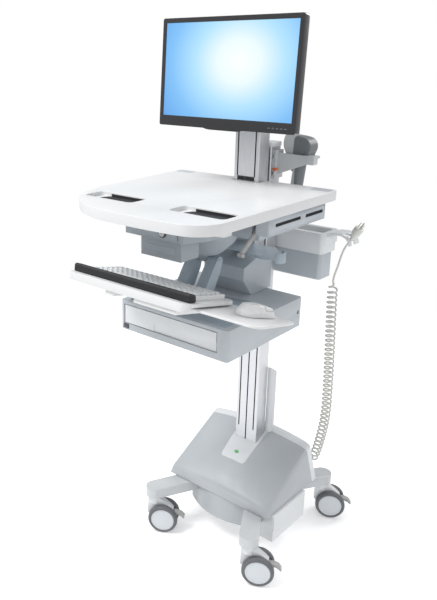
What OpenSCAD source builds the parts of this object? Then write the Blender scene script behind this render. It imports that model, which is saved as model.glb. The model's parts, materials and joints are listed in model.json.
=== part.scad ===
// Mobile medication cart: wheeled base, fixed column, sit-stand head with a
// worktop, display, keyboard tray and medication drawer. Millimetres, +Z up,
// the front of the cart faces -Y. Lengths inside the modules are measured from
// the column's centre line and the floor; at_column() places them.

/* [Base] */
// Distance between the caster stems, left to right
stem_dx = 390; // [380:1:400]
// Caster stem to column centre, front pair
stem_front = 283; // [275:1:290]
// Caster stem to column centre, rear pair
stem_rear = 186; // [180:1:192]
// Underside of the caster legs above the floor
leg_z = 131; // [129:1:133]
// Half width of the base cover at its lower edge
hood_hw = 202; // [198:1:204]
// Lower edge of the base cover above the floor
hood_z = 172; // [168:1:176]

/* [Casters] */
// Wheel diameter
wheel_d = 102; // [100:1:104]
// Offset of the axle behind the stem
caster_trail = 33; // [30:1:36]
// Width over both wheels of a caster
caster_w = 72; // [68:1:74]
// Direction in which the casters trail
caster_angle = 30; // [0:5:60]

/* [Column and mast] */
// Width of the column extrusion
col_w = 85; // [80:1:88]
// Depth of the column extrusion
col_d = 56; // [54:1:58]
// Top of the column above the floor
col_top = 1332; // [1310:1:1340]
// Top of the display mast above the floor
mast_top = 1597; // [1580:1:1600]
// Distance of the outer slots from the middle
slot_x = 29.5; // [28:0.5:31]

/* [Worktop] */
// Width of the worktop
top_w = 568; // [560:1:576]
// Top surface of the worktop above the floor, raised
top_z = 1234; // [1230:1:1236]
// Thickness of the worktop
top_t = 28; // [26:1:30]
// Front edge of the worktop, in front of the column centre
top_front = 690; // [682:1:694]
// Rear edge of the worktop, in front of the column centre
top_back = 54; // [52:1:58]

/* [Drawer] */
// Width of the drawer housing
box_w = 396; // [390:1:400]
// Bottom of the drawer housing
box_z0 = 803; // [800:1:806]
// Top of the drawer housing
box_z1 = 895; // [893:1:897]
// Front of the drawer housing, in front of the column centre
box_front = 445; // [440:1:450]

/* [Keyboard tray] */
// Slope of the keyboard tray, front edge high
tray_tilt = 12; // [10:1:14]
// Width of the keyboard tray
tray_w = 428; // [420:1:434]
// Depth of the keyboard tray
tray_d = 212; // [208:1:216]

/* [Display] */
// Width of the display
disp_w = 470; // [460:1:476]
// Height of the display
disp_h = 307; // [300:1:312]
// Height of the display's middle above the floor
disp_z = 1547; // [1545:1:1550]
// Backward lean of the display
disp_tilt = 3; // [0:1:5]

/* [Hidden] */
$fn = 48;

// Place of the column's centre line, so that the origin is the middle of the cart
col_x = -56.5;
col_y = 217;
gap = 0.3;
wall = 3;

stem_x = stem_dx / 2;
wheel_r = wheel_d / 2;
leg_h = 33;
stem_bore = 6;
axle_r = 6;
running = 0.05;

slot_w = 4.5;
duct_at = [50, 44];
duct_r = 15;
mast_w = 88;
mast_y = -69;
mast_z0 = 1016;

kb_x = 8;
tray_y = -655;
tray_z = 1033;
tray_t = 9;
tray_lip = 13.1;
arm_pivot = [-300, 1036];
tray_pivot = [-505, 962];

tilt_pivot = [-128, 1545];
disp_front = -221;
vesa_z = 1561;

module at_column() translate([col_x, col_y, 0]) children();

// Rectangle with rounded corners
module rrect(w, h, r) {
  square([w - 2 * r, h], center = true);
  square([w, h - 2 * r], center = true);
  for (sx = [-1, 1], sy = [-1, 1])
    translate([sx * (w / 2 - r), sy * (h / 2 - r)]) circle(r);
}

// Block between two opposite corners
module block(a, b) translate(a) cube([b[0] - a[0], b[1] - a[1], b[2] - a[2]]);

// Polygon in the YZ plane, given thickness along X
module side_profile(x0, x1, points)
  translate([x0, 0, 0]) rotate([90, 0, 90]) linear_extrude(x1 - x0) polygon(points);

// ---------- base ----------

// Side line of the base cover, and the height of its crown above that line
hood_side = [[-191, 196], [-188, 204], [-181, 210], [-140, 231], [-90, 256], [-40, 281], [10, 306],
             [50, 326], [66, 333], [74, 331], [82, 310], [126, 197]];
function crown(y) = 4 + 25 * sin(180 * (y + 191) / 325);

// Section of the base cover across X at one place along Y
function hood_section(y, zs, inset) =
  let (lo = hood_z - (inset > 0 ? 1 : 0), hw = hood_hw - inset, c = crown(y), z = zs - inset)
  [[-hw, y, lo], [-hw + 3, y, z - 22], [-hw + 9, y, z - 6],
   for (k = [-5 : 5]) [k / 5 * (hw - 24), y, z + c * (1 - pow(k / 5, 2))],
   [hw - 9, y, z - 6], [hw - 3, y, z - 22], [hw, y, lo]];

module hood_form(inset) {
  n = len(hood_side);
  m = 17;
  rows = [for (i = [0 : n - 1])
    let (y = hood_side[i][0])
    hood_section(y + (i == 0 ? inset : y > 70 ? -inset : 0), hood_side[i][1], inset)];
  points = [for (r = rows) each r];
  faces = concat(
    [for (i = [0 : n - 2], j = [0 : m - 1])
      [i * m + j, (i + 1) * m + j, (i + 1) * m + (j + 1) % m, i * m + (j + 1) % m]],
    [[for (j = [0 : m - 1]) j]],
    [[for (j = [0 : m - 1]) (n - 1) * m + m - 1 - j]]);
  polyhedron(points, faces, convexity = 4);
}

module hood_shell() difference() {
  hood_form(0);
  hood_form(wall);
}

// Everything behind the seam between the front and the rear cover
module behind_seam(shift)
  translate([-300, 70 + shift, 250]) rotate([19, 0, 0]) translate([0, 0, -300]) cube([600, 400, 600]);

// Tongue of the rear cover that runs forward round the foot of the column
module tongue_prism(grow)
  translate([0, 0, 200]) linear_extrude(200) {
    polygon([[-36, -106 - grow], [36, -106 - grow], [48 + grow, -94], [58 + grow, 75], [-58 - grow, 75],
             [-48 - grow, -94]]);
    for (s = [-1, 1]) translate([s * 36, -94]) circle(12 + grow);
  }

module column_hole() translate([0, 0, 100]) linear_extrude(300) rrect(col_w + 1, col_d + 1, 4);

module duct_hole() translate([duct_at[0], duct_at[1], 100]) cylinder(r = duct_r + 0.5, h = 300);

// Bowed band under the front lip of the cover
function skirt_line(hw, inset) =
  [for (k = [-8 : 8]) let (x = k / 8 * (hw - inset)) [x, -188 + inset + 42 * pow(x / 130, 2)]];

module skirt_band(hw, back, z0, z1) translate([0, 0, z0]) linear_extrude(z1 - z0) difference() {
  polygon(concat(skirt_line(hw, 0), [[hw, back], [-hw, back]]));
  polygon(concat(skirt_line(hw, wall), [[hw - wall, back + 5], [wall - hw, back + 5]]));
}

module front_skirt() {
  skirt_band(140, -136, 80, leg_z - 2);
  skirt_band(80, -160, leg_z - 4, hood_z);
  block([-80, -189.5, hood_z - 4], [80, -168, hood_z + 1.5]);
}

module base_hood() color("silver") at_column() {
  difference() {
    hood_shell();
    behind_seam(0);
    tongue_prism(0.4);
    column_hole();
    duct_hole();
  }
  front_skirt();
}

module rear_cover() color("whitesmoke") at_column() difference() {
  union() {
    intersection() {
      hood_shell();
      behind_seam(0.6);
    }
    intersection() {
      hood_shell();
      tongue_prism(0);
    }
  }
  column_hole();
  duct_hole();
}

module leg(sx, sy, grow) hull() {
  translate([sx * 125, sy < 0 ? -150 : 60, leg_z + 3 - grow])
    cylinder(r = 30 + grow, h = 36 + 2 * grow, $fn = 32);
  translate([sx * stem_x, sy < 0 ? -stem_front : stem_rear, leg_z - grow])
    cylinder(r = 31 + grow, h = leg_h + 2 * grow, $fn = 32);
}

module base_frame() color("lightgray") at_column() difference() {
  union() {
    for (sx = [-1, 1], sy = [-1, 1]) leg(sx, sy, 0);
    block([-130, -132, 128], [150, 90, 150]);
  }
  gland_hole();
  for (sx = [-1, 1], sy = [-stem_front, stem_rear])
    translate([sx * stem_x, sy, leg_z - 1]) cylinder(r = stem_bore, h = 26);
}

module battery_pack() color("white") at_column() difference() {
  block([150, -165, 75], [210, 35, 171.5]);
  leg(1, -1, 0.5);
  block([206, -176, 118], [212, -161, 166]);
}

// ---------- column ----------
module column() color("silver") at_column() difference() {
  translate([0, 0, 150]) linear_extrude(col_top - 150) difference() {
    rrect(col_w, col_d, 4);
    rrect(col_w - 8, col_d - 8, 2);
  }
  for (sx = [-1, 0, 1])
    block([sx * slot_x - slot_w / 2, -col_d / 2 - 1, sx == 0 ? 311 : 360],
          [sx * slot_x + slot_w / 2, -col_d / 2 + 6, col_top + 1]);
}

module column_cap() color("white") at_column() {
  translate([0, 0, col_top]) linear_extrude(14) rrect(col_w + 4, col_d + 4, 6);
  translate([0, 0, col_top - 10]) linear_extrude(10.1) rrect(col_w - 8.6, col_d - 8.6, 2);
}

module cable_duct() color("whitesmoke") at_column() difference() {
  translate([duct_at[0], duct_at[1], 325]) cylinder(r = duct_r, h = 275);
  translate([duct_at[0], duct_at[1], 324]) cylinder(r = duct_r - 2, h = 302);
  translate([duct_at[0], duct_at[1], 570]) rotate([-42, 0, 0]) translate([-40, -60, 0]) cube([80, 120, 90]);
}

module lift_cylinder() color("dimgray") at_column() difference() {
  translate([0, 4, 150]) cylinder(r = 15, h = 670);
  translate([0, 4, 345]) cylinder(r = 12, h = 463);
  translate([0, 4, 800]) cylinder(r = 5 + running, h = 30);
}

module lift_rod() color("lightgray") at_column() {
  translate([0, 4, 806]) cylinder(r = 12 - running, h = 1.9);
  translate([0, 4, 806]) cylinder(r = 5, h = 480);
  translate([0, 4, 1270]) cylinder(r = 8, h = 16);
  block([-1.5, -41, 1270], [1.5, 4, 1286]);
}

// ---------- casters ----------
function stem_place(sx, sy) = [sx * stem_x, sy < 0 ? -stem_front : stem_rear, 0];

module at_stem(sx, sy) at_column() translate(stem_place(sx, sy)) rotate([0, 0, caster_angle]) children();

// Shape standing in the wheel plane, given thickness along the axle
module in_wheel_plane(w) rotate([90, 0, 0]) translate([0, 0, -w / 2]) linear_extrude(w) children();

module fork(sx, sy) color("whitesmoke") at_stem(sx, sy) {
  in_wheel_plane(25) union() {
    translate([caster_trail, wheel_r]) circle(21);
    difference() {
      union() {
        translate([caster_trail, wheel_r]) circle(46);
        polygon([[-21, 120], [-24, 62], [10, 40], [60, 40], [60, 90], [21, 120]]);
      }
      translate([caster_trail - 60, -30]) square([120, wheel_r - 4 + 30]);
      translate([66, 40]) square([40, 60]);
    }
  }
  translate([0, 0, 102.6]) cylinder(r = 21, h = leg_z - 102.6 - gap);
  translate([0, 0, 110]) cylinder(r = stem_bore - running, h = leg_z - 86);
  translate([caster_trail, 0, wheel_r]) rotate([90, 0, 0]) cylinder(r = axle_r, h = 56, center = true);
}

module wheel_pair(sx, sy) color("dimgray") at_stem(sx, sy)
  for (s = [-1, 1])
    translate([caster_trail, 0, wheel_r]) rotate([s * 90, 0, 0]) translate([0, 0, 14])
      rotate_extrude($fn = 72) polygon([
        [axle_r + running, 0], [wheel_r - 6, 0], [wheel_r - 1.5, 2], [wheel_r, 6], [wheel_r, 15],
        [wheel_r - 3, 20], [wheel_r - 9, 22], [wheel_r - 12, 19], [8, 19], [8, 18], [axle_r + running, 18]]);

pedal_pin = [70, 69];
module pedal(sx, sy) color("darkgray") at_stem(sx, sy) {
  in_wheel_plane(20) polygon([[67, 74], [84, 73], [97, 68], [106, 56], [103, 53], [93, 60], [83, 64],
                              [67, 65]]);
  translate([88, -12.5, 65]) rotate([0, 38, 0]) cube([20, 25, 3.5]);
  translate([pedal_pin[0], 0, pedal_pin[1]]) rotate([90, 0, 0]) cylinder(r = 3.6, h = 25, center = true);
}

// ---------- free cord ----------
cord_d = 6.3;
coil_d = 35;
gland_at = [60, 90, 139];
tail_route = [[60, 106, 139], [60, 122, 139], [66, 140, 148], [84, 152, 166], [108, 157, 184], [132, 157, 198],
              [152, 154, 208]];
coil_route = [[152, 154, 208], [168, 154, 228], [180, 152, 260], [192, 148, 310], [204, 142, 370], [212, 136, 440],
              [216, 125, 557], [219, 112, 660], [222, 98, 760], [224, 88, 840], [226, 80, 919]];
lead_route = [[226, 80, 919], [229, 80, 938], [237, 80, 966], [245, 80, 1000], [254, 80, 1028],
              [266, 80, 1050]];
plug_axis = [26, 0, 42];

function unit(v) = v / norm(v);
function lerp(a, b, t) = a + (b - a) * t;
// Point at parameter t on the smooth curve through p[i] and p[i + 1]
function smooth(p, i, t) =
  let (n = len(p) - 1, a = p[max(i - 1, 0)], b = p[i], c = p[i + 1], d = p[min(i + 2, n)])
  0.5 * (2 * b + (c - a) * t + (2 * a - 5 * b + 4 * c - d) * t * t + (3 * b - a - 3 * c + d) * t * t * t);
function curve(p, k) = concat(
  [for (i = [0 : len(p) - 2], j = [0 : k - 1]) smooth(p, i, j / k)], [p[len(p) - 1]]);

module tube(route, r, sides) {
  n = len(route);
  points = [for (i = [0 : n - 1])
    let (t = unit(route[min(i + 1, n - 1)] - route[max(i - 1, 0)]),
         u = unit(cross(t, [1, 0.2, 0])), v = cross(t, u))
    for (j = [0 : sides - 1]) route[i] + r * (cos(j * 360 / sides) * u + sin(j * 360 / sides) * v)];
  faces = concat(
    [for (i = [0 : n - 2], j = [0 : sides - 1])
      [i * sides + j, (i + 1) * sides + j, (i + 1) * sides + (j + 1) % sides, i * sides + (j + 1) % sides]],
    [[for (j = [0 : sides - 1]) j]],
    [[for (j = [0 : sides - 1]) (n - 1) * sides + sides - 1 - j]]);
  polyhedron(points, faces, convexity = 6);
}

module gland_hole() translate(gland_at + [0, 10, 0]) rotate([90, 0, 0]) cylinder(r = 7, h = 40);

module cord_gland() color("dimgray") at_column() {
  translate(gland_at + [0, 0.3, 0]) rotate([-90, 0, 0]) cylinder(r = 11, h = 5);
  translate(gland_at + [0, -12, 0]) rotate([-90, 0, 0]) cylinder(r = 6.7, h = 16);
  translate(gland_at + [0, 5, 0]) rotate([-90, 0, 0]) cylinder(r1 = 7, r2 = 4.5, h = 11);
}

module coil_cord() color("lightgray") at_column() tube(curve(coil_route, 4), coil_d / 2, 12);

module lead_cord() color("lightgray") at_column() {
  tube(curve(lead_route, 2), cord_d / 2, 8);
  tube(curve(tail_route, 2), cord_d / 2, 8);
}

module mains_plug() color("whitesmoke") at_column()
  translate(lead_route[5]) rotate([0, atan2(plug_axis[0], plug_axis[2]), 0]) {
    cylinder(r1 = 4.2, r2 = 6, h = 26);
    translate([0, 0, 26]) cylinder(r1 = 9, r2 = 14, h = 14);
    translate([0, 0, 40]) cylinder(r = 14, h = 20);
    for (s = [-1, 1]) translate([s * 6.4 - 0.8, -3, 60]) cube([1.6, 6.2, 17]);
    translate([0, 6.5, 60]) cylinder(r = 2.4, h = 19);
  }

// ---------- storage bin and scanner mount ----------
module storage_bin() color("lightsteelblue") at_column() {
  difference() {
    translate([68, 84, 922]) linear_extrude(84) rrect(254, 76, 12);
    translate([68, 84, 925]) linear_extrude(90) rrect(248, 70, 9);
  }
  block([-28, col_d / 2 + 0.1, 935], [28, 46.2, 1000]);
}

module bin_rim() color("white") at_column() {
  difference() {
    union() {
      translate([69, 88, 1006.1]) linear_extrude(30) rrect(264, 92, 14);
      translate([69, 89, 1036]) linear_extrude(37) rrect(272, 100, 18);
    }
    translate([69, 90, 1005]) linear_extrude(90) rrect(244, 68, 9);
  }
  hook();
}

module hook() difference() {
  translate([0, 118, 0]) rotate([90, 0, 0]) linear_extrude(62) polygon([
    [200, 1073], [225, 1079], [250, 1080], [268, 1074], [278, 1062], [283, 1046], [279, 1045],
    [273, 1058], [264, 1068], [248, 1073], [226, 1071], [204, 1060], [200, 1050]]);
  block([255, 70, 1040], [290, 90, 1090]);
}

module scanner_mount() color("lightgray") at_column() {
  block([col_w / 2, -18, 1236], [52, 28, 1322]);
  side_plate();
  block([150, -4, 1287], [173, 22, 1313]);
  difference() {
    translate([103, 46, 1298]) linear_extrude(6) rrect(98, 82, 16);
    translate([102, 48, 1290]) linear_extrude(20) rrect(72, 52, 12);
  }
}

module side_plate() translate([0, 6, 0]) rotate([90, 0, 0]) linear_extrude(8)
  polygon([[51, 1248], [51, 1314], [152, 1312], [152, 1288]]);

module scanner_body() color("dimgray") at_column() difference() {
  union() {
    translate([0, 46, 0]) hull() {
      translate([54, 0, 1345]) rotate([0, 90, 0]) cylinder(r = 27, h = 24, $fn = 32);
      translate([118, 0, 1334]) rotate([90, 0, 0]) cylinder(r = 28, h = 50, center = true, $fn = 32);
      translate([70, -29, 1304.4]) cube([64, 58, 6]);
    }
    hull() {
      translate([104, 46, 1290]) cylinder(r = 19, h = 20, $fn = 32);
      translate([94, 46, 1205]) cylinder(r = 19, h = 10, $fn = 32);
    }
  }
  block([60, 37, 1252], [90, 55, 1296]);
}

module scanner_trigger() color("gray") at_column() {
  translate([0, 46, 0]) rotate([90, 0, 0]) translate([0, 0, -8.5]) linear_extrude(17)
    polygon([[76, 1255], [76, 1272], [80, 1293], [84, 1293], [84, 1255]]);
  translate([82, 46, 1292]) rotate([90, 0, 0]) cylinder(r = 2.5, h = 17, center = true);
}

// ---------- head: worktop and what hangs from it ----------
function arc(cx, cy, r, a0, a1, n) = [for (i = [0 : n]) let (a = a0 + (a1 - a0) * i / n)
  [cx + r * cos(a), cy + r * sin(a)]];

// Outline of the worktop: a bowed front edge, a wide left corner and a notch for the mast
right_corner = 85;
left_corner = 250;
left_corner_x = -12;
function bow(x) = -top_front + 20 * pow((x - 60) / 240, 2);
function top_outline() = concat(
  [[-50, -top_back], [-50, -102], [50, -102], [50, -top_back]],
  arc(top_w / 2 - 12, -top_back - 12, 12, 90, 0, 4),
  arc(top_w / 2 - right_corner, bow(200) + right_corner, right_corner, 0, -80, 10),
  [for (k = [1 : 5]) let (x = 200 - 40 * k) [x, bow(x)]],
  arc(left_corner_x, bow(left_corner_x) + left_corner, left_corner, -92, -176, 16),
  arc(-top_w / 2 + 12, -top_back - 12, 12, 180, 90, 4));

grip_x = [-120, 178];
grip_y = -543;
module worktop() color("white") at_column() difference() {
  union() {
    translate([0, 0, top_z - top_t]) linear_extrude(top_t) polygon(top_outline());
    for (x = grip_x) translate([x + 8, grip_y - 14, top_z - 44]) linear_extrude(20) rrect(158, 42, 12);
  }
  for (x = grip_x) {
    translate([x, grip_y, top_z - 11]) linear_extrude(20) rrect(172, 70, 14);
    translate([x + 8, grip_y - 14, top_z - 41]) linear_extrude(60) rrect(152, 36, 10);
  }
}

shroud_c = [15, -300];
module housing_plan(inset) polygon([
  [-205 + inset, -112 - inset], [-205 + inset, -430 + inset / 2], [-150 + inset / 2, -500 + inset],
  [80 - inset / 2, -500 + inset], [105 - inset, -430], [120 - inset, -330 + inset],
  [205 - inset, -330 + inset], [205 - inset, -112 - inset]]);

module housing_foot(inset) polygon([
  [-190 + inset, -112 - inset], [-190 + inset, -410 + inset / 2], [-128 + inset / 2, -496 + inset],
  [80 - inset / 2, -496 + inset], [105 - inset, -430], [120 - inset, -330 + inset],
  [205 - inset, -330 + inset], [205 - inset, -112 - inset]]);

head_z = 1124;
module head_housing() color("lightsteelblue") at_column() {
  difference() {
    union() {
      translate([0, 0, head_z + 30]) linear_extrude(top_z - top_t - head_z - 30) housing_plan(0);
      translate([0, 0, head_z]) linear_extrude(30) housing_foot(0);
    }
    translate([0, 0, head_z + 33]) linear_extrude(90) housing_plan(wall);
    translate([0, 0, head_z + 3]) linear_extrude(31) housing_foot(wall);
    translate([shroud_c[0], shroud_c[1], head_z - 5]) cylinder(r = 108, h = 120);
    block([-60, -510, 1130], [60, -490, 1162]);
  }
  block([-38, -112.1, 1141], [38, -97, 1200]);
  for (x = [204.9, 221]) difference() {
    block([x, -372, 1152], [x + 4, -334, top_z - top_t]);
    translate([200, -353, 1166]) rotate([0, 90, 0]) cylinder(r = 4 + running, h = 40);
  }
}

module lock_plate() difference() {
  block([-60, -500, 1130], [60, -496.5, 1162]);
  translate([12, -490, 1146]) rotate([90, 0, 0]) cylinder(r = 9, h = 20);
}

module power_box() color("lightsteelblue") at_column() {
  difference() {
    block([-82, -482, 1068], [62, -405, head_z]);
    block([-79, -479, 1071], [59, -408, head_z + 1]);
  }
  block([-62, -484, 1082], [40, -481.9, 1104]);
  lock_plate();
}

module lock_cylinder() color("gold") at_column() translate([12, -494, 1146]) rotate([90, 0, 0]) difference() {
  cylinder(r = 9 - running, h = 12);
  translate([-0.8, -4, 10]) cube([1.6, 8, 4]);
}

module arm_shroud() color("lightsteelblue") at_column() {
  shroud_cone();
  arm_lug();
}

module shroud_cone() translate([shroud_c[0], shroud_c[1], 0]) rotate_extrude() polygon([
  [0, 1050], [34, 1050], [50, 1062], [78, 1090], [98, 1124], [107, 1165], [107.6, top_z - top_t],
  [103, top_z - top_t], [103, 1165], [94, 1126], [75, 1094], [48, 1067], [0, 1062]]);

module arm_lug() difference() {
  side_profile(-9, 25, [[-312, 1026], [-288, 1026], [-284, 1051], [-316, 1051]]);
  translate([-20, arm_pivot[0], arm_pivot[1]]) rotate([0, 90, 0]) cylinder(r = 5 + running, h = 60);
}

module side_rail(s) difference() {
  block([s > 0 ? 236 : -272, -394, 1158], [s > 0 ? 272 : -236, -100, top_z - top_t]);
  block([s > 0 ? 234 : -269, -391, 1161], [s > 0 ? 269 : -234, -103, top_z]);
  for (y = [[-358, -226], [-206, -112]])
    block([s > 0 ? 262 : -276, y[0], 1178], [s > 0 ? 276 : -262, y[1], 1187]);
}

module side_rails() color("lightsteelblue") at_column() {
  side_rail(-1);
  side_rail(1);
}

module wing_plate() color("lightsteelblue") at_column() {
  translate([0, 0, 1040]) linear_extrude(4) polygon([
    [-186, -214], [-150, -226], [-96, -208], [-50, -196], [50, -196], [96, -208], [150, -226], [186, -214],
    [190, -168], [120, -97], [-120, -97], [-190, -168]]);
  for (s = [-1, 1]) translate([s * 186, -190, 1032]) difference() {
    cylinder(r = 20, h = 30);
    translate([0, 0, -1]) cylinder(r = 16, h = 32);
    translate([s > 0 ? -40 : 0, -40, -1]) cube([40, 80, 32]);
  }
}

module riser_box() color("lightsteelblue") at_column() difference() {
  side_profile(-74, 74, [[-41, 895], [-41, 1016], [-110, 1016], [-196, 990], [-196, 950], [-150, 895]]);
  side_profile(-71, 71, [[-44, 898], [-44, 1013], [-109, 1013], [-192, 987], [-192, 952], [-148, 898]]);
}

module carriage() color("dimgray") at_column() {
  block([-38, -41, 840], [38, -30.5, 1180]);
  for (s = [-1, 1], z = [850, 1120]) {
    block([s * slot_x - 1.2, -31, z], [s * slot_x + 1.2, -12, z + 40]);
    block([s * slot_x - 5, -22, z + 4], [s * slot_x + 5, -13, z + 36]);
  }
}

module mast() color("silver") at_column() difference() {
  translate([0, mast_y, mast_z0]) linear_extrude(mast_top - mast_z0) difference() {
    rrect(mast_w, col_d, 4);
    rrect(mast_w - 8, col_d - 8, 2);
  }
  for (s = [-1, 1])
    block([s * 31 - slot_w / 2, mast_y - col_d / 2 - 1, top_z + 14],
          [s * 31 + slot_w / 2, mast_y - col_d / 2 + 6, mast_top + 1]);
  block([-31, mast_y - col_d / 2 - 1, top_z + 1], [31, mast_y - col_d / 2 + 5, top_z + 14]);
}

module mast_cap() color("white") at_column() translate([0, mast_y, mast_top]) {
  linear_extrude(14) rrect(mast_w + 2, col_d + 2, 6);
}

module lift_lever() color("gray") at_column() {
  side_profile(212, 218, [[-345, 1160], [-345, 1172], [-358, 1174], [-366, 1160], [-424, 1118], [-432, 1104],
                          [-426, 1101], [-412, 1112], [-356, 1150]]);
  translate([207, -427, 1107]) rotate([0, 90, 0]) cylinder(r = 6, h = 16);
  translate([206, -353, 1166]) rotate([0, 90, 0]) cylinder(r = 4, h = 22);
}

// ---------- drawer ----------
module drawer_housing() color("lightsteelblue") at_column() difference() {
  translate([0, -251, box_z0]) linear_extrude(box_z1 - box_z0) rrect(box_w, 388, 10);
  block([-184, -446, 823], [162, -72, 884]);
  block([168, -436, 809], [192, -68, 889]);
  block([-176, -428, 888.5], [176, -200, 900]);
  block([-186, -447, 807], [-165, -432, 822]);
  translate([200, -78, 850]) rotate([0, -90, 0]) cylinder(r = 6, h = 12);
}

module drawer_tray() color("white") at_column() difference() {
  block([-180, -437, 826], [158, -84, 874]);
  block([-177, -434, 829], [155, -87, 880]);
}

module drawer_front() color("white") at_column() difference() {
  block([-181, -444, 825], [159, -437.1, 881]);
  block([-66, -445, 826], [159.1, -442, 851]);
}

module drawer_latch() color("dimgray") at_column()
  side_profile(-184, -167, [[-440.5, 809], [-440.5, 820], [-447, 820], [-450, 812], [-449, 809]]);

// ---------- keyboard ----------
// Tray hinge axis seen from the tray's own corner
tray_lug = let (dy = tray_pivot[0] - tray_y, dz = tray_pivot[1] - tray_z)
  [dy * cos(tray_tilt) - dz * sin(tray_tilt), dy * sin(tray_tilt) + dz * cos(tray_tilt)];

module at_tray() at_column() translate([kb_x, tray_y, tray_z]) rotate([-tray_tilt, 0, 0]) children();

module keyboard_arm() color("slategray") at_column() {
  for (s = [-1, 1])
    side_profile(kb_x + s * 36 - 17, kb_x + s * 36 + 17,
      [[-288, 1034], [-291, 1043], [-300, 1047], [-309, 1045], [-318, 1036], [-340, 1006], [-366, 968], [-400, 962],
       [-497, 972], [-510, 970], [-515, 961], [-506, 953], [-400, 938], [-356, 932], [-328, 948],
       [-298, 1000]]);
  translate([kb_x, tray_pivot[0], tray_pivot[1]]) rotate([0, 90, 0]) cylinder(r = 5, h = 120, center = true);
  translate([kb_x, arm_pivot[0], arm_pivot[1]]) rotate([0, 90, 0]) cylinder(r = 5, h = 110, center = true);
}

module keyboard_tray() color("white") at_tray() {
  difference() {
    translate([0, tray_d / 2, -tray_t]) linear_extrude(tray_t) rrect(tray_w, tray_d, 26);
    block([-190, 44, -3], [190, 204, 1]);
  }
  translate([0, 0, -22]) linear_extrude(tray_lip) difference() {
    translate([0, tray_d / 2]) rrect(tray_w, tray_d, 26);
    translate([-198, 18]) square([tray_w, tray_d]);
  }
  block([40, 6, -34], [180, 34, -8.9]);
  block([40, 6, -34], [180, 150, -24]);
  block([-62, 6, -34], [-32, 150, -8.9]);
  block([-62, 110, -34], [180, 150, -24]);
  for (s = [-1, 1]) difference() {
    block([s > 0 ? 53.4 : -60, 130, -47], [s > 0 ? 60 : -53.4, 174, -24]);
    translate([0, tray_lug[0], tray_lug[1]]) rotate([0, 90, 0])
      cylinder(r = 5 + running, h = 140, center = true);
  }
}

module palm_rest() color("black") at_tray() translate([0, 0, 0.1]) hull()
  for (s = [-1, 1]) {
    translate([s * 201, 24, 4]) sphere(r = 4, $fn = 24);
    translate([s * 201, 42, 5]) sphere(r = 5, $fn = 24);
    translate([s * 200, 25, 17]) sphere(r = 6, $fn = 24);
    translate([s * 200, 39, 15]) sphere(r = 6, $fn = 24);
  }

kb_w = 376;
kb_d = 148;
module keyboard_case() color("whitesmoke") at_tray() translate([0, 124, -2.9]) difference() {
  linear_extrude(15) rrect(kb_w, kb_d, 8);
  translate([0, 0, 9]) linear_extrude(10) rrect(kb_w - 12, kb_d - 14, 4);
}

key_pitch = 18.8;
key_z = 8.5;
key_h = 8.5;
module keyboard_keys() color("lightgray") at_tray() {
  for (row = [0 : 5], col = [0 : 18])
    if (row > 0 || col < 4 || col > 9)
      translate([(col - 9) * key_pitch - 8, 65 + row * 20.4, key_z]) cube([16, 17.2, key_h]);
  translate([-5 * key_pitch - 8, 65, key_z]) cube([5 * key_pitch + 16, 17.2, key_h]);
}

module mouse_tray() color("white") at_tray()
  translate([258, 135, -20]) linear_extrude(6) rrect(262, 186, 30);

module at_mouse() at_tray() translate([306, 164, -13.6]) rotate([0, 0, -22]) children();

module mouse_body() color("white") at_mouse() difference() {
  hull() {
    translate([0, 0, 0]) linear_extrude(2) rrect(58, 104, 26);
    translate([0, -12, 8]) linear_extrude(4) rrect(62, 84, 28);
    translate([0, -16, 27]) linear_extrude(3) rrect(38, 50, 18);
    translate([0, 16, 20]) linear_extrude(3) rrect(42, 44, 14);
  }
  translate([0, 8, 16]) block([-40, 0, 0], [40, 60, 30]);
}

module mouse_button(s) color("whitesmoke") at_mouse() intersection() {
  hull() {
    translate([0, -12, 8]) linear_extrude(4) rrect(62, 84, 28);
    translate([0, 0, 0]) linear_extrude(2) rrect(58, 104, 26);
    translate([0, -16, 27]) linear_extrude(3) rrect(38, 50, 18);
    translate([0, 16, 20]) linear_extrude(3) rrect(42, 44, 14);
  }
  block([s > 0 ? 0.5 : -40, 8.4, 17.2], [s > 0 ? 40 : -0.5, 60, 40]);
}

// ---------- display ----------
module at_tilt() at_column() translate([0, tilt_pivot[0], tilt_pivot[1]]) rotate([-disp_tilt, 0, 0])
  translate([0, -tilt_pivot[0], -tilt_pivot[1]]) children();

module display_slider() color("silver") at_column() {
  block([-35, -102, 1466], [35, -97.4, 1594]);
  for (s = [-1, 1]) {
    block([s * 31 - 1.2, -98, 1475], [s * 31 + 1.2, -86, 1585]);
    difference() {
      side_profile(s > 0 ? 24 : -28, s > 0 ? 28 : -24,
        [[-101, 1505], [-101, 1570], [-118, 1566], [-140, 1552], [-140, 1536]]);
      translate([0, tilt_pivot[0], tilt_pivot[1]]) rotate([0, 90, 0])
        cylinder(r = 5 + running, h = 90, center = true);
    }
  }
}

module tilt_bracket() color("gainsboro") at_tilt() {
  translate([0, tilt_pivot[0], tilt_pivot[1]]) rotate([0, 90, 0]) cylinder(r = 5, h = 74, center = true);
  block([-23, -146, 1537], [23, -124, 1553]);
  translate([0, -146, vesa_z]) rotate([90, 0, 0]) cylinder(r = 36, h = 10);
  translate([0, -155, vesa_z]) rotate([90, 0, 0]) cylinder(r = 12, h = 9.5);
}

module vesa_plate() color("gainsboro") at_tilt() difference() {
  translate([-60, -161, vesa_z - 60]) cube([120, 3.5, 120]);
  translate([0, -150, vesa_z]) rotate([90, 0, 0]) cylinder(r = 12 + running, h = 30);
  for (sx = [-50, 50], sz = [-50, 50])
    translate([sx, -150, vesa_z + sz]) rotate([90, 0, 0]) cylinder(r = 2.3, h = 30);
}

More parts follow.
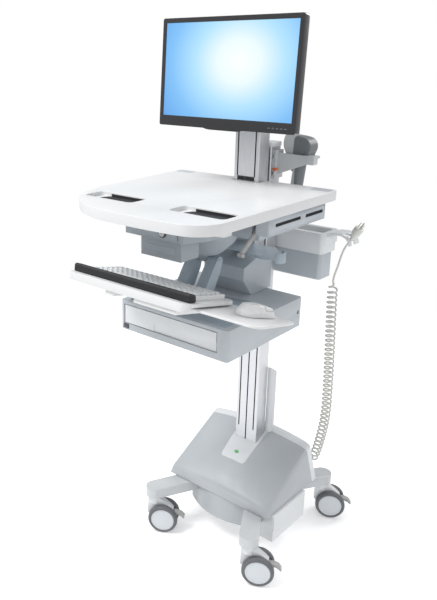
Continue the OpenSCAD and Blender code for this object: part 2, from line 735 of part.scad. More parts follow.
module monitor_shell() color("black") at_tilt() difference() {
  union() {
    translate([0, disp_front + 24, disp_z]) rotate([90, 0, 0]) linear_extrude(24) rrect(disp_w, disp_h, 6);
    hull() {
      translate([0, disp_front + 23, disp_z]) rotate([90, 0, 0]) linear_extrude(1) rrect(disp_w - 40, disp_h - 36, 12);
      translate([0, -161.4, disp_z + 8]) rotate([90, 0, 0]) linear_extrude(1) rrect(250, 190, 16);
    }
    translate([0, disp_front + 14, disp_z - disp_h / 2 - 3]) rotate([90, 0, 0]) linear_extrude(13)
      polygon([[-80, 6], [-58, 0], [-46, -1], [46, -1], [58, 0], [80, 6]]);
  }
  block([-222, disp_front - 1, disp_z - 124], [222, disp_front + 4, disp_z + 140]);
  translate([0, -150, vesa_z]) rotate([90, 0, 0]) cylinder(r = 12.5, h = 17);
}

module monitor_screen() color("skyblue") at_tilt()
  block([-221.8, disp_front + 1.5, disp_z - 123.8], [221.8, disp_front + 3.9, disp_z + 139.8]);

base_frame();
base_hood();
rear_cover();
battery_pack();
column();
column_cap();
cable_duct();
lift_cylinder();
cord_gland();
coil_cord();
lead_cord();
mains_plug();
storage_bin();
bin_rim();
scanner_mount();
fork(-1, -1);  // fork_front_left
fork(1, -1);  // fork_front_right
fork(-1, 1);  // fork_rear_left
fork(1, 1);  // fork_rear_right
wheel_pair(-1, -1);  // wheels_front_left
wheel_pair(1, -1);  // wheels_front_right
wheel_pair(-1, 1);  // wheels_rear_left
wheel_pair(1, 1);  // wheels_rear_right
pedal(-1, -1);  // pedal_front_left
pedal(1, -1);  // pedal_front_right
pedal(-1, 1);  // pedal_rear_left
pedal(1, 1);  // pedal_rear_right
carriage();
lift_rod();
mast();
mast_cap();
worktop();
head_housing();
power_box();
arm_shroud();
side_rails();
wing_plate();
riser_box();
drawer_housing();
lift_lever();
lock_cylinder();
drawer_tray();
drawer_front();
drawer_latch();
keyboard_arm();
keyboard_tray();
palm_rest();
keyboard_case();
keyboard_keys();
mouse_tray();
mouse_body();
mouse_button(-1);  // mouse_button_left
mouse_button(1);  // mouse_button_right
display_slider();
tilt_bracket();
vesa_plate();
monitor_shell();
monitor_screen();
scanner_body();
scanner_trigger();
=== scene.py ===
"""Looks of the mobile medication cart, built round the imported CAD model. Metres, +Z up, front faces -Y."""

import json
import math

import bmesh
import bpy
from mathutils import Matrix, Vector

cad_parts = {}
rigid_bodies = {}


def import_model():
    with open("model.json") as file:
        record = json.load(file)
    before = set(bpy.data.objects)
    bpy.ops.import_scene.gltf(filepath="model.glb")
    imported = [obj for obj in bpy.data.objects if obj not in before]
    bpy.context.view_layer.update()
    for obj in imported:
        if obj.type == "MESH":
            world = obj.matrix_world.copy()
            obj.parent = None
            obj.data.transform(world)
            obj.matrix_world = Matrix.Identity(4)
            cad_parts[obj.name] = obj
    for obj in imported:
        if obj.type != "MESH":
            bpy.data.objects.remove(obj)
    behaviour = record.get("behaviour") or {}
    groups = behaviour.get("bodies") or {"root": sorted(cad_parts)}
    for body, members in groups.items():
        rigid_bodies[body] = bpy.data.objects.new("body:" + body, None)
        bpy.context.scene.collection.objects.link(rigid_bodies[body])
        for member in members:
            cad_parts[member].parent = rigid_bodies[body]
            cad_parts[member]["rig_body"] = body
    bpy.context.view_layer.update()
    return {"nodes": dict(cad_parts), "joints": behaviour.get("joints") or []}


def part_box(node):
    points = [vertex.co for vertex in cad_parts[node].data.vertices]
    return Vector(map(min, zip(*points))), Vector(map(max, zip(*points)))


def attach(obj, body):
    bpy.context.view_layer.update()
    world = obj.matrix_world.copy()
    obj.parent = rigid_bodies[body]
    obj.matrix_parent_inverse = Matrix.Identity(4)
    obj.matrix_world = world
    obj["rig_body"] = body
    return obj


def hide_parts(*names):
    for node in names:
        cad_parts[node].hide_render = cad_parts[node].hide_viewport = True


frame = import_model()

MM = 0.001
low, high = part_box("column")
COLUMN = Vector(((low.x + high.x) / 2, (low.y + high.y) / 2, 0))

# Millimetres, measured from the column's centre line and the floor
TRAY_CORNER = (8, -655, 1033)
TILT_PIVOT = (0, -128, 1545)
COLUMN_FRONT = -28
MAST_FRONT = -97
TRAY_TILT = math.radians(-12)
DISPLAY_TILT = math.radians(-3)

# Mains cord: length in metres, the rest in millimetres
CORD_D = 6.3
COIL_D = 35
COIL_TURNS = 40
COIL_LEAD = 32
COIL_STEPS = 18

# Screen picture: middle of the glow, and its reach across and up in metres
GLOW_CENTRE = (40, -215, 1585)
GLOW_REACH = (0.33, 0.27)

# Hand grips: middle of each along X, and of the finger slots along Y
GRIPS = (-120, 178)
GRIP_SLOT_Y = -557

# Skirt under the front lip of the base cover
SKIRT_HALF = 140
SKIRT_FRONT = -188.5
SKIRT_BOW = 42 / 130 ** 2
SKIRT_BOTTOM, SKIRT_TOP, SKIRT_WALL = 80, 172.5, 2.2

# Keys: pitch, rows, first row's middle, and the heights of a cap's foot, shoulder, top and hollow
KEY_PITCH = 18.8
KEY_ROW_PITCH = 20.4
KEY_ROW_START = 73.6
KEY_WIDTH = 16
KEY_FOOT, KEY_SHOULDER, KEY_TOP, KEY_HOLLOW = 8.5, 10.5, 16.8, 16.2


def at(x, y, z):
    """A point measured in millimetres from the column's centre line and the floor."""
    return COLUMN + Vector((x, y, z)) * MM


def tray_frame():
    return Matrix.Translation(at(*TRAY_CORNER)) @ Matrix.Rotation(TRAY_TILT, 4, "X")


def display_frame():
    pivot = at(*TILT_PIVOT)
    return Matrix.Translation(pivot) @ Matrix.Rotation(DISPLAY_TILT, 4, "X") @ Matrix.Translation(-pivot)


# ---------- materials ----------


def shader(name, colour, rough, metal=0.0, coat=0.0):
    """A node material with its principled shader, and a function that links two sockets."""
    mat = bpy.data.materials.new(name)
    mat.use_nodes = True
    bsdf = mat.node_tree.nodes["Principled BSDF"]
    bsdf.inputs["Base Color"].default_value = (*colour, 1)
    bsdf.inputs["Roughness"].default_value = rough
    bsdf.inputs["Metallic"].default_value = metal
    bsdf.inputs["Coat Weight"].default_value = coat
    return mat, mat.node_tree.nodes, mat.node_tree.links.new, bsdf


def noise(nodes, link, scale, detail=3.0, stretch=(1, 1, 1)):
    """Noise in the cart's own frame, scale in features per metre."""
    coords = nodes.new("ShaderNodeTexCoord")
    mapping = nodes.new("ShaderNodeMapping")
    mapping.inputs["Scale"].default_value = stretch
    texture = nodes.new("ShaderNodeTexNoise")
    texture.inputs["Scale"].default_value = scale
    texture.inputs["Detail"].default_value = detail
    link(coords.outputs["Object"], mapping.inputs["Vector"])
    link(mapping.outputs["Vector"], texture.inputs["Vector"])
    return texture.outputs["Fac"]


def ramp(nodes, link, source, stops):
    node = nodes.new("ShaderNodeValToRGB")
    elements = node.color_ramp.elements
    while len(elements) < len(stops):
        elements.new(0.5)
    for element, (place, colour) in zip(elements, stops):
        element.position = place
        element.color = (*colour, 1) if len(colour) == 3 else colour
    link(source, node.inputs["Fac"])
    return node.outputs["Color"]


def grey(value):
    return (value, value, value)


def tint(colour, factor):
    return tuple(min(1.0, c * factor) for c in colour)


def bump(nodes, link, source, bsdf, height):
    node = nodes.new("ShaderNodeBump")
    node.inputs["Strength"].default_value = 0.5
    node.inputs["Distance"].default_value = height * MM
    link(source, node.inputs["Height"])
    link(node.outputs["Normal"], bsdf.inputs["Normal"])


def moulded(name, colour, rough=0.45, grain=1400, depth=0.05, coat=0.0, shade=0.04):
    """Moulded plastic: a fine spark-eroded grain, with slight changes of shade and gloss."""
    mat, nodes, link, bsdf = shader(name, colour, rough, coat=coat)
    broad = noise(nodes, link, 9, 5)
    link(ramp(nodes, link, broad, [(0.3, tint(colour, 1 - shade)), (0.7, tint(colour, 1 + shade))]),
         bsdf.inputs["Base Color"])
    smudges = noise(nodes, link, 30, 6)
    link(ramp(nodes, link, smudges, [(0.3, grey(rough - 0.06)), (0.72, grey(rough + 0.08))]),
         bsdf.inputs["Roughness"])
    bump(nodes, link, noise(nodes, link, grain, 2), bsdf, depth)
    return mat


def coated_metal(name, colour, rough=0.38):
    """Powder coat: a soft orange peel under a thin gloss."""
    mat, nodes, link, bsdf = shader(name, colour, rough, coat=0.25)
    bsdf.inputs["Coat Roughness"].default_value = 0.3
    broad = noise(nodes, link, 12, 5)
    link(ramp(nodes, link, broad, [(0.3, tint(colour, 0.95)), (0.7, tint(colour, 1.03))]),
         bsdf.inputs["Base Color"])
    bump(nodes, link, noise(nodes, link, 420, 3), bsdf, 0.12)
    return mat


def drawn_metal(name, colour, rough, stretch):
    """Drawn or brushed metal, with streaks along one axis."""
    mat, nodes, link, bsdf = shader(name, colour, rough, metal=1.0)
    streaks = noise(nodes, link, 900, 4, stretch)
    link(ramp(nodes, link, streaks, [(0.3, tint(colour, 0.88)), (0.7, tint(colour, 1.06))]),
         bsdf.inputs["Base Color"])
    link(ramp(nodes, link, streaks, [(0.3, grey(rough - 0.08)), (0.7, grey(rough + 0.1))]),
         bsdf.inputs["Roughness"])
    bump(nodes, link, streaks, bsdf, 0.02)
    return mat


def screen_picture(name):
    """A lit screen: blue sky with a soft white glow in the upper middle."""
    mat, nodes, link, bsdf = shader(name, (0.02, 0.05, 0.1), 0.18, coat=0.3)
    coords = nodes.new("ShaderNodeTexCoord")
    mapping = nodes.new("ShaderNodeMapping")
    centre = at(*GLOW_CENTRE)
    across, upward = GLOW_REACH
    mapping.inputs["Location"].default_value = (-centre.x / across, 0, -centre.z / upward)
    mapping.inputs["Scale"].default_value = (1 / across, 0, 1 / upward)
    glow = nodes.new("ShaderNodeTexGradient")
    glow.gradient_type = "SPHERICAL"
    link(coords.outputs["Object"], mapping.inputs["Vector"])
    link(mapping.outputs["Vector"], glow.inputs["Vector"])
    picture = ramp(nodes, link, glow.outputs["Fac"], [
        (0.0, (0.10, 0.33, 0.74)), (0.28, (0.20, 0.50, 0.86)), (0.55, (0.45, 0.75, 0.95)),
        (0.78, (0.86, 0.95, 1.0)), (1.0, (1.0, 1.0, 1.0))])
    link(picture, bsdf.inputs["Emission Color"])
    bsdf.inputs["Emission Strength"].default_value = 0.95
    return mat


MATERIALS = {
    "grey_cover": moulded("grey_cover", (0.47, 0.51, 0.545), 0.42),
    "hood_grey": moulded("hood_grey", (0.44, 0.465, 0.485), 0.40, shade=0.03),
    "white_cover": moulded("white_cover", (0.70, 0.715, 0.725), 0.38),
    "blue_grey": moulded("blue_grey", (0.36, 0.42, 0.47), 0.44),
    # a lighter copy of blue_grey for the parts under the worktop: painted light, to cancel the shade that
    # falls there
    "shade_lifted_grey": moulded("shade_lifted_grey", (0.43, 0.475, 0.51), 0.42),
    "drawer_grey": moulded("drawer_grey", (0.45, 0.485, 0.51), 0.42),
    "top_white": moulded("top_white", (0.71, 0.715, 0.715), 0.42, 900, 0.02, coat=0.1, shade=0.012),
    "caster_white": moulded("caster_white", (0.68, 0.695, 0.71), 0.34, coat=0.1),
    "keys_white": moulded("keys_white", (0.70, 0.715, 0.72), 0.5, 1800, 0.04),
    "mouse_white": moulded("mouse_white", (0.76, 0.765, 0.765), 0.28, coat=0.3, shade=0.015),
    "black_soft": moulded("black_soft", (0.018, 0.018, 0.020), 0.62, 1100, 0.12),
    "black_gloss": moulded("black_gloss", (0.012, 0.012, 0.014), 0.14, 600, 0.01, coat=0.8),
    "dark_plastic": moulded("dark_plastic", (0.09, 0.10, 0.11), 0.45),
    "tyre": moulded("tyre", (0.125, 0.13, 0.14), 0.55, 700, 0.1),
    "wheel_disc": moulded("wheel_disc", (0.60, 0.63, 0.66), 0.34, coat=0.1, shade=0.02),
    "pedal_grey": moulded("pedal_grey", (0.40, 0.40, 0.385), 0.45),
    "scanner_grey": moulded("scanner_grey", (0.17, 0.185, 0.195), 0.42),
    "scanner_light": moulded("scanner_light", (0.56, 0.575, 0.58), 0.40),
    "cord_grey": moulded("cord_grey", (0.62, 0.62, 0.58), 0.4, 1500, 0.03),
    "green_mark": moulded("green_mark", (0.12, 0.48, 0.16), 0.4),
    "orange": moulded("orange", (0.80, 0.16, 0.03), 0.4),
    "light_metal": coated_metal("light_metal", (0.54, 0.56, 0.57)),
    "dark_metal": coated_metal("dark_metal", (0.06, 0.065, 0.07)),
    "anodised": drawn_metal("anodised", (0.72, 0.73, 0.75), 0.42, (1, 1, 0.02)),
    "steel": drawn_metal("steel", (0.62, 0.62, 0.62), 0.3, (1, 1, 0.03)),
    "screen": screen_picture("screen"),
}


# ---------- mesh helpers ----------


def new_object(name, bm, material, bevel=0.0, segments=3, smooth_angle=35):
    mesh = bpy.data.meshes.new(name)
    bmesh.ops.recalc_face_normals(bm, faces=bm.faces)
    bm.to_mesh(mesh)
    bm.free()
    obj = bpy.data.objects.new(name, mesh)
    bpy.context.scene.collection.objects.link(obj)
    mesh.materials.append(MATERIALS[material])
    finish_mesh(obj, bevel, segments, smooth_angle)
    return obj


def finish_mesh(obj, bevel, segments=3, smooth_angle=35):
    """Rounds the edges, and shades the rest smoothly."""
    for face in obj.data.polygons:
        face.use_smooth = True
    if bevel > 0:
        rounding = obj.modifiers.new("rounding", "BEVEL")
        rounding.width = bevel * MM
        rounding.segments = segments
        rounding.limit_method = "ANGLE"
        rounding.angle_limit = math.radians(smooth_angle)
        rounding.use_clamp_overlap = True
        rounding.harden_normals = True
    else:
        obj.data.set_sharp_from_angle(angle=math.radians(smooth_angle))


def softened(node, material, bevel, angle=35, segments=3):
    """A copy of a CAD node with its flat faces joined up and its edges rounded, shown in its place."""
    source = frame["nodes"][node]
    bm = bmesh.new()
    bm.from_mesh(source.data)
    bmesh.ops.remove_doubles(bm, verts=bm.verts, dist=0.00002)
    bmesh.ops.dissolve_limit(bm, angle_limit=math.radians(1.0), verts=bm.verts, edges=bm.edges)
    obj = new_object(node + "_skin", bm, material, bevel, segments, angle)
    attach(obj, source["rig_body"])
    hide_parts(node)
    return obj


def sculpted(node, material, voxel, passes):
    """A copy of a CAD node whose corners melt into one another, as on a moulded grip."""
    obj = softened(node, material, 0, 60)
    remesh = obj.modifiers.new("remesh", "REMESH")
    remesh.mode = "VOXEL"
    remesh.voxel_size = voxel * MM
    remesh.use_smooth_shade = True
    melt = obj.modifiers.new("melt", "SMOOTH")
    melt.factor = 0.6
    melt.iterations = passes
    return obj


def add_block(bm, a, b, place=None):
    """A box between two corners in millimetres, in a frame of its own or in the column's."""
    corners = [Vector((x, y, z)) * MM for x in (a[0], b[0]) for y in (a[1], b[1]) for z in (a[2], b[2])]
    place = place or Matrix.Translation(COLUMN)
    verts = [bm.verts.new(place @ c) for c in corners]
    for quad in ((0, 1, 3, 2), (4, 6, 7, 5), (0, 4, 5, 1), (2, 3, 7, 6), (0, 2, 6, 4), (1, 5, 7, 3)):
        bm.faces.new([verts[i] for i in quad])


def add_prism(bm, outline, z0, z1, place=None, taper=1.0):
    """An outline in the XY plane, raised from z0 to z1; taper shrinks the top about its middle."""
    place = place or Matrix.Translation(COLUMN)
    cx = sum(p[0] for p in outline) / len(outline)
    cy = sum(p[1] for p in outline) / len(outline)
    rings = []
    for z, k in ((z0, 1.0), (z1, taper)):
        rings.append([bm.verts.new(place @ (Vector((cx + (x - cx) * k, cy + (y - cy) * k, z)) * MM))
                      for x, y in outline])
    bm.faces.new(rings[0][::-1])
    bm.faces.new(rings[1])
    n = len(outline)
    for i in range(n):
        j = (i + 1) % n
        bm.faces.new([rings[0][i], rings[0][j], rings[1][j], rings[1][i]])


def rounded(cx, cy, w, h, r, n=6):
    """Outline of a rectangle with round corners."""
    points = []
    for k, (sx, sy) in enumerate(((1, 1), (-1, 1), (-1, -1), (1, -1))):
        for i in range(n + 1):
            a = math.radians(90 * k + 90 * i / n)
            points.append((cx + sx * (w / 2 - r) + r * math.cos(a), cy + sy * (h / 2 - r) + r * math.sin(a)))
    return points


def add_frame(bm, outer, inner, z0, z1, place=None):
    """A flat ring between two outlines of as many points."""
    place = place or Matrix.Translation(COLUMN)
    loops = [[bm.verts.new(place @ (Vector((x, y, z)) * MM)) for x, y in outline]
             for outline, z in ((outer, z0), (outer, z1), (inner, z1), (inner, z0))]
    n = len(outer)
    for k in range(4):
        a, b = loops[k], loops[(k + 1) % 4]
        for i in range(n):
            j = (i + 1) % n
            bm.faces.new([a[i], a[j], b[j], b[i]])


def add_turned(bm, profile, place, steps=48):
    """A turned shape: profile points are (radius, height) in millimetres, closed on the axis."""
    rings = []
    for r, z in profile:
        if r == 0:
            rings.append([bm.verts.new(place @ (Vector((0, 0, z)) * MM))])
        else:
            rings.append([bm.verts.new(place @ (Vector((r * math.cos(a), r * math.sin(a), z)) * MM))
                          for a in (2 * math.pi * i / steps for i in range(steps))])
    for a, b in zip(rings, rings[1:]):
        for i in range(steps):
            j = (i + 1) % steps
            quad = [a[i % len(a)], a[j % len(a)], b[j % len(b)], b[i % len(b)]]
            bm.faces.new(list(dict.fromkeys(quad)))


def piece(name, bm, material, body, bevel=0.0, segments=3, angle=35):
    obj = new_object(name, bm, material, bevel, segments, angle)
    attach(obj, body)
    return obj


def towards(point, direction, roll_axis="Y"):
    """A frame at a point whose Z looks along a direction."""
    return Matrix.Translation(point) @ Vector(direction).to_track_quat("Z", roll_axis).to_matrix().to_4x4()


def tube_object(name, path, radius, sides, material):
    """A tube along a list of points, with frames carried from ring to ring so that it doesn't twist."""
    bm = bmesh.new()
    rings = []
    normal = Vector((0, 0, 1))
    for i, p in enumerate(path):
        tangent = (path[min(i + 1, len(path) - 1)] - path[max(i - 1, 0)]).normalized()
        normal = (normal - tangent * normal.dot(tangent)).normalized()
        side = tangent.cross(normal)
        rings.append([bm.verts.new(p + radius * (math.cos(a) * normal + math.sin(a) * side))
                      for a in (2 * math.pi * k / sides for k in range(sides))])
    for a, b in zip(rings, rings[1:]):
        for k in range(sides):
            bm.faces.new([a[k], a[(k + 1) % sides], b[(k + 1) % sides], b[k]])
    bm.faces.new(rings[0][::-1])
    bm.faces.new(rings[-1])
    return new_object(name, bm, material)


# ---------- camera, light and floor ----------


def make_camera():
    """The photograph's viewpoint."""
    yaw, pitch, roll = 0.75, -0.297, -0.004
    forward = Vector((-math.sin(yaw) * math.cos(pitch), math.cos(yaw) * math.cos(pitch), math.sin(pitch)))
    right = Vector((math.cos(yaw), math.sin(yaw), 0))
    up = right.cross(forward)
    right, up = (math.cos(roll) * right + math.sin(roll) * up, math.cos(roll) * up - math.sin(roll) * right)
    data = bpy.data.cameras.new("camera")
    data.lens = 42.43
    data.shift_x = 0.1475
    data.shift_y = -0.05
    camera = bpy.data.objects.new("camera", data)
    bpy.context.scene.collection.objects.link(camera)
    axes = Matrix((right, up, -forward)).transposed().to_4x4()
    camera.matrix_world = Matrix.Translation(at(1203.2, -1908.0, 1606.5)) @ axes
    bpy.context.scene.camera = camera


def area_light(name, spot, target, size, power):
    data = bpy.data.lights.new(name, "AREA")
    data.shape = "DISK"
    data.size = size
    data.energy = power
    light = bpy.data.objects.new(name, data)
    bpy.context.scene.collection.objects.link(light)
    light.matrix_world = towards(Vector(spot), Vector(spot) - Vector(target))


def make_studio():
    """Soft lamps under a pale dome; the camera sees plain white behind the cart."""
    bpy.context.scene.view_settings.view_transform = "Standard"
    world = bpy.data.worlds.new("studio")
    world.use_nodes = True
    nodes, link = world.node_tree.nodes, world.node_tree.links.new
    dome = nodes["Background"]
    dome.inputs["Color"].default_value = (0.97, 0.98, 1.0, 1)
    dome.inputs["Strength"].default_value = 0.60
    backdrop = nodes.new("ShaderNodeBackground")
    backdrop.inputs["Color"].default_value = (1, 1, 1, 1)
    backdrop.inputs["Strength"].default_value = 1.0
    seen = nodes.new("ShaderNodeLightPath")
    mix = nodes.new("ShaderNodeMixShader")
    link(seen.outputs["Is Camera Ray"], mix.inputs[0])
    link(dome.outputs["Background"], mix.inputs[1])
    link(backdrop.outputs["Background"], mix.inputs[2])
    link(mix.outputs["Shader"], nodes["World Output"].inputs["Surface"])
    bpy.context.scene.world = world
    area_light("key", (-1.3, -1.9, 3.7), (0, 0, 0.9), 1.6, 96)
    area_light("fill", (2.8, -1.6, 1.8), (0, 0, 0.7), 2.0, 12)
    area_light("rim", (0.8, 2.6, 2.6), (0, 0, 1.0), 1.4, 35)
    make_floor()


def make_floor():
    """A pale floor that glows a little, so that it fades into the white backdrop."""
    bm = bmesh.new()
    bmesh.ops.create_grid(bm, x_segments=2, y_segments=2, size=2.8)
    floor = bpy.data.objects.new("floor", bpy.data.meshes.new("floor"))
    bm.to_mesh(floor.data)
    bm.free()
    bpy.context.scene.collection.objects.link(floor)
    floor_mat, _, _, bsdf = shader("floor", grey(0.93), 0.6)
    bsdf.inputs["Emission Color"].default_value = (1, 1, 1, 1)
    bsdf.inputs["Emission Strength"].default_value = 0.32
    floor.data.materials.append(floor_mat)


# ---------- mains cord ----------

TAIL_ROUTE = [(60, 106, 139), (60, 122, 139), (66, 140, 148), (84, 152, 166), (108, 157, 184),
              (132, 157, 198), (152, 154, 208)]
COIL_ROUTE = [(152, 154, 208), (168, 154, 228), (180, 152, 260), (192, 148, 310), (204, 142, 370),
              (212, 136, 440), (216, 125, 557), (219, 112, 660), (222, 98, 760), (224, 88, 840),
              (226, 80, 919)]
LEAD_ROUTE = [(226, 80, 919), (229, 80, 938), (237, 80, 966), (245, 80, 1000), (254, 80, 1028),
              (266, 80, 1050)]


def spline_point(points, t):
    """Point on the smooth curve through a list of points, t from 0 to its last index."""
    i = min(int(t), len(points) - 2)
    t -= i
    a, b, c, d = (Vector(points[k]) for k in (max(i - 1, 0), i, i + 1, min(i + 2, len(points) - 1)))
    return 0.5 * (2 * b + (c - a) * t + (2 * a - 5 * b + 4 * c - d) * t ** 2
                  + (3 * b - a - 3 * c + d) * t ** 3)


def route_points(points, count):
    return [spline_point(points, (len(points) - 1) * i / count) for i in range(count + 1)]


def ease(t):
    return t * t * (3 - 2 * t)


def coil_points():
    """The curly part: a helix round the route, which opens and closes over a short lead at each end."""
    line = route_points(COIL_ROUTE, 400)
    steps = [0.0]
    for a, b in zip(line, line[1:]):
        steps.append(steps[-1] + (b - a).length)
    length = steps[-1]
    total = COIL_TURNS * COIL_STEPS
    opening = [ease(min(1.0, length * i / total / COIL_LEAD, length * (total - i) / total / COIL_LEAD))
               for i in range(total + 1)]
    turn = 2 * math.pi * COIL_TURNS / sum(opening)
    points = []
    normal = Vector((1, 0, 0))
    angle = 0.0
    k = 0
    for i, open_part in enumerate(opening):
        s = length * i / total
        while k < len(steps) - 2 and steps[k + 1] < s:
            k += 1
        centre = line[k].lerp(line[k + 1], (s - steps[k]) / (steps[k + 1] - steps[k]))
        tangent = (line[k + 1] - line[k]).normalized()
        normal = (normal - tangent * normal.dot(tangent)).normalized()
        radius = (COIL_D - CORD_D) / 2 * open_part
        points.append(centre + radius * (math.cos(angle) * normal + math.sin(angle) * tangent.cross(normal)))
        angle += turn * open_part
    return points


def make_cord():
    tail = route_points(TAIL_ROUTE, 24)
    lead = route_points(LEAD_ROUTE, 20)
    path = [at(*p) for p in tail[:-1] + coil_points() + lead[1:]]
    cord = tube_object("mains_cord", path, CORD_D / 2 * MM, 10, "cord_grey")
    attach(cord, "base")
    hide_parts("coil_cord", "lead_cord")
    plug = softened("mains_plug", "cord_grey", 0.6)


# ---------- base ----------


def slot_shade_strips(name, slots, front, body):
    """Black strips on both lips of each slot in an extrusion: painted shade for the dark inside of the slot.
    """
    bm = bmesh.new()
    for x, z0, z1 in slots:
        for s in (-1, 1):
            add_block(bm, (x + s * 1.35, front + 0.5, z0), (x + s * 2.25, front + 3.9, z1))
    piece(name, bm, "black_soft", body)


def make_base():
    slots = [(-29.5, 360, 1331), (0, 311, 1331), (29.5, 360, 1331)]
    # black strips in the column's slots: painted shade for the dark inside of the slots
    slot_shade_strips("column_slot_shade", slots, COLUMN_FRONT, "base")
    softened("base_frame", "light_metal", 2.0, 40)
    softened("base_hood", "hood_grey", 0, 40)
    softened("rear_cover", "white_cover", 0, 40)
    softened("battery_pack", "white_cover", 5)
    softened("cable_duct", "white_cover", 0, 30)
    softened("column_cap", "white_cover", 2)
    softened("cord_gland", "dark_plastic", 0.5)
    frame["nodes"]["column"].data.materials[0] = MATERIALS["anodised"]
    frame["nodes"]["lift_cylinder"].data.materials[0] = MATERIALS["dark_metal"]
    softened("storage_bin", "grey_cover", 2, 40)
    softened("bin_rim", "white_cover", 2, 40)
    softened("scanner_mount", "light_metal", 1.2)
    make_skirt()
    make_foot_mark()
    make_clamp()


def make_skirt():
    """One smooth bowed sheet over the bands of the skirt."""
    bm = bmesh.new()
    bow = [(x, SKIRT_FRONT + SKIRT_BOW * x ** 2) for x in range(-SKIRT_HALF, SKIRT_HALF + 1, 5)]
    add_prism(bm, bow + [(x, y + SKIRT_WALL) for x, y in reversed(bow)], SKIRT_BOTTOM, SKIRT_TOP)
    piece("skirt_skin", bm, "hood_grey", "base", 0.4, 3, 30)


def make_foot_mark():
    """A plain green leaf on the slope in front of the column."""
    bm = bmesh.new()
    leaf = [(-9, 0), (-6, 4.5), (0, 6.5), (6, 4.5), (9, 0), (6, -4.5), (0, -6.5), (-6, -4.5)]
    place = towards(at(0, -79, 287), (0, -0.524, 0.852))
    add_prism(bm, leaf, -1, 1.0, place)
    piece("foot_mark", bm, "green_mark", "base", 0.4)


def make_clamp():
    """The orange tab and the two screws on the clamp of the scanner's arm."""
    bm = bmesh.new()
    add_block(bm, (45, -21.5, 1261), (58, -8, 1268))
    piece("clamp_tab", bm, "orange", "base", 1.5)
    bm = bmesh.new()
    for z in (1252, 1304):
        add_turned(bm, [(0, 0), (5, 0), (5, 3), (4, 4), (0, 4)], towards(at(47, -18, z), (0, -1, 0)), 24)
    piece("clamp_screws", bm, "steel", "base")


def make_casters():
    for corner in ("front_left", "front_right", "rear_left", "rear_right"):
        softened("fork_" + corner, "caster_white", 2.5)
        softened("wheels_" + corner, "tyre", 0, 30)
        softened("pedal_" + corner, "pedal_grey", 1.2)
        make_tyres(corner)


def make_tyres(corner):
    """Rubber treads and hub caps on both wheels of a caster."""
    joint = next(j for j in frame["joints"] if j["name"] == "roll_" + corner)
    axis = Vector(joint["axis"])
    tread_profile = [(41, 14.5), (49, 14.3), (51.2, 19), (51.3, 24), (50.6, 29), (48, 34.2), (44.5, 36.1),
                     (41, 35), (41, 14.5)]
    cap_profile = [(0, 32), (40.4, 32), (40.4, 33.4), (38.5, 34.6), (34, 34.9), (33, 34.2), (20, 35.2),
                   (0, 35.5)]
    tread = bmesh.new()
    caps = bmesh.new()
    for side in (-1, 1):
        place = towards(Vector(joint["pos_m"]), axis * side)
        add_turned(tread, tread_profile, place, 72)
        add_turned(caps, cap_profile, place, 64)
    piece("tyres_" + corner, tread, "tyre", "rollers_" + corner, 0, 3, 50)
    piece("hub_caps_" + corner, caps, "wheel_disc", "rollers_" + corner, 0, 3, 30)


# ---------- head ----------


def make_head():
    softened("worktop", "top_white", 6, 30, 5)
    # the housing, power box and shroud take the lightened copy of blue_grey: painted light against the shade
    # under the worktop
    softened("head_housing", "shade_lifted_grey", 4)
    softened("power_box", "shade_lifted_grey", 3)
    softened("arm_shroud", "shade_lifted_grey", 0, 40)
    softened("side_rails", "grey_cover", 2.5)
    softened("wing_plate", "blue_grey", 1.2)
    softened("riser_box", "grey_cover", 1.5)
    softened("drawer_housing", "drawer_grey", 6, 35, 4)
    softened("carriage", "dark_metal", 0.8)
    softened("mast_cap", "white_cover", 2)
    softened("lift_lever", "pedal_grey", 1.0)
    softened("lock_cylinder", "steel", 0.4)
    make_lock_collar()
    frame["nodes"]["mast"].data.materials[0] = MATERIALS["anodised"]
    frame["nodes"]["lift_rod"].data.materials[0] = MATERIALS["steel"]
    # black strips in the mast's slots: painted shade for the dark inside of the slots
    slot_shade_strips("mast_slot_shade", [(-31, 1248, 1596), (31, 1248, 1596)], MAST_FRONT, "head")
    # black sheets in the hand grips' slots and recesses: painted shade
    make_grip_shade()
    # black strips behind the side rails' slots: painted shade
    make_rail_slot_shade()
    make_inlays()


def make_lock_collar():
    bm = bmesh.new()
    add_turned(bm, [(9.2, 0), (13, 0), (12.6, 3.5), (10.5, 5), (9.2, 5), (9.2, 0)],
               towards(at(12, -500, 1146), (0, -1, 0)), 40)
    piece("lock_collar", bm, "dark_plastic", "head", 0, 3, 50)


def make_rail_slot_shade():
    """Black strips behind the slots of the side rails: painted shade for the dark inside of the rails."""
    bm = bmesh.new()
    for s in (-1, 1):
        for y0, y1 in ((-358, -226), (-206, -112)):
            add_block(bm, (s * 267.5, y0 - 1, 1175), (s * 266, y1 + 1, 1189))
    piece("rail_slot_shade", bm, "black_soft", "head")


def make_inlays():
    """Thin pads: one on the drawer housing, two on the worktop's rear corners."""
    bm = bmesh.new()
    add_prism(bm, rounded(0, -314, 350, 226, 6), 888.6, 889.4)
    piece("drawer_top_inlay", bm, "blue_grey", "head", 0.3)
    bm = bmesh.new()
    for s in (-1, 1):
        add_prism(bm, rounded(s * 246, -80, 60, 34, 8), 1233.6, 1234.6)
    piece("corner_strips", bm, "grey_cover", "head", 0.3)


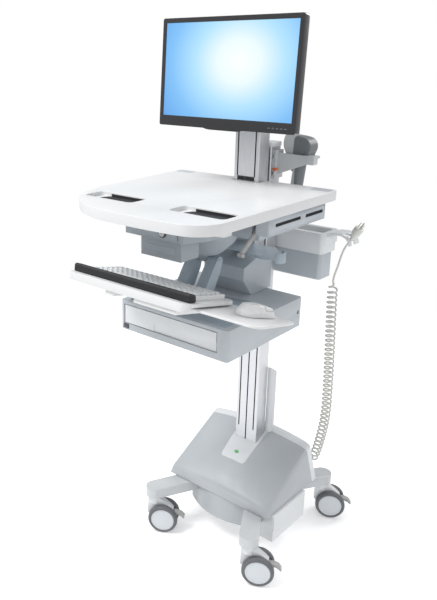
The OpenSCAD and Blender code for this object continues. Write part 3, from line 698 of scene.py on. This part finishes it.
def make_grip_shade():
    """Black sheets in the two hand grips, painted shade: in the finger slots, on the floors and on the rear
    walls.
    """
    bm = bmesh.new()
    for x in GRIPS:
        slot = rounded(x + 8, GRIP_SLOT_Y, 148.6, 32.6, 8.3)
        add_frame(bm, rounded(x + 8, GRIP_SLOT_Y, 151.8, 35.8, 9.9), slot, 1193.1, 1222.8)
        add_prism(bm, rounded(x + 8, GRIP_SLOT_Y, 150, 34, 9), 1193.1, 1194.4)
        add_frame(bm, rounded(x + 14, -543, 143, 69, 13), slot, 1223.05, 1223.6)
        add_block(bm, (x - 48, -510, 1223.1), (x + 72, -508.1, 1230.2))
    piece("grip_painted_shade", bm, "black_soft", "head", 0, 3, 50)


# ---------- drawer ----------


def make_drawer():
    softened("drawer_tray", "white_cover", 1.5)
    softened("drawer_front", "white_cover", 2)
    softened("drawer_latch", "dark_plastic", 0.8)


# ---------- keyboard and mouse ----------


def make_keyboard():
    softened("keyboard_arm", "blue_grey", 3)
    softened("keyboard_tray", "top_white", 2.5, 35, 4)
    softened("palm_rest", "black_soft", 0, 60)
    softened("keyboard_case", "keys_white", 1.5)
    make_keys()


def make_keys():
    """Key caps with tapered sides and slightly hollow tops."""
    place = tray_frame()
    bm = bmesh.new()
    for row in range(6):
        for col in range(19):
            if row > 0 or col < 4 or col > 9:
                add_key(bm, (col - 9) * KEY_PITCH, KEY_ROW_START + row * KEY_ROW_PITCH, KEY_WIDTH, place)
    add_key(bm, -47, KEY_ROW_START, 110, place)
    caps = piece("key_caps", bm, "keys_white", "keys", 1.3, 3, 25)
    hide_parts("keyboard_keys")


def key_outline(x, half, y0, y1):
    return [(x - half, y0), (x + half, y0), (x + half, y1), (x - half, y1)]


def add_key(bm, x, y, width, place):
    base = key_outline(x, width / 2, y - 8.6, y + 8.6)
    top = key_outline(x, width / 2 - 1.8, y - 6.4, y + 7)
    rings = [[bm.verts.new(place @ (Vector((*p, z)) * MM)) for p in points]
             for points, z in ((base, KEY_FOOT), (base, KEY_SHOULDER), (top, KEY_TOP))]
    bm.faces.new(rings[0][::-1])
    centre = bm.verts.new(place @ (Vector((x, y + 0.3, KEY_HOLLOW)) * MM))
    for a, b in zip(rings, rings[1:]):
        for i in range(4):
            bm.faces.new([a[i], a[(i + 1) % 4], b[(i + 1) % 4], b[i]])
    for i in range(4):
        bm.faces.new([rings[2][i], rings[2][(i + 1) % 4], centre])


def make_mouse():
    softened("mouse_tray", "top_white", 2)
    sculpted("mouse_body", "mouse_white", 1.2, 10)
    for side in ("left", "right"):
        softened("mouse_button_" + side, "mouse_white", 0.8, 40)


# ---------- display ----------


def make_display():
    softened("display_slider", "anodised", 0.6)
    softened("tilt_bracket", "light_metal", 1.2)
    softened("vesa_plate", "light_metal", 0.6)
    softened("monitor_shell", "black_gloss", 2, 35)
    frame["nodes"]["monitor_screen"].data.materials[0] = MATERIALS["screen"]
    bm = bmesh.new()
    place = display_frame() @ Matrix.Translation(COLUMN)
    for k in range(5):
        add_block(bm, (150 + 13 * k, -221.8, 1405), (158 + 13 * k, -220.6, 1408), place)
    piece("display_buttons", bm, "dark_plastic", "display", 0.4)


def make_scanner():
    body = sculpted("scanner_body", "scanner_grey", 1.6, 14)
    body.data.materials.append(MATERIALS["scanner_light"])
    two_tone(body, Vector((-0.94, 0.34, 0)), at(101, 46, 0))
    softened("scanner_trigger", "pedal_grey", 1.5)


def two_tone(obj, direction, point):
    """Applies the modifiers, and gives the faces on one side of a plane the second material."""
    result = obj.evaluated_get(bpy.context.evaluated_depsgraph_get())
    mesh = bpy.data.meshes.new_from_object(result)
    obj.modifiers.clear()
    obj.data = mesh
    for face in mesh.polygons:
        face.material_index = 1 if (face.center - point).dot(direction) > 0 else 0


make_camera()
make_studio()
make_cord()
make_base()
make_casters()
make_head()
make_drawer()
make_keyboard()
make_mouse()
make_display()
make_scanner()
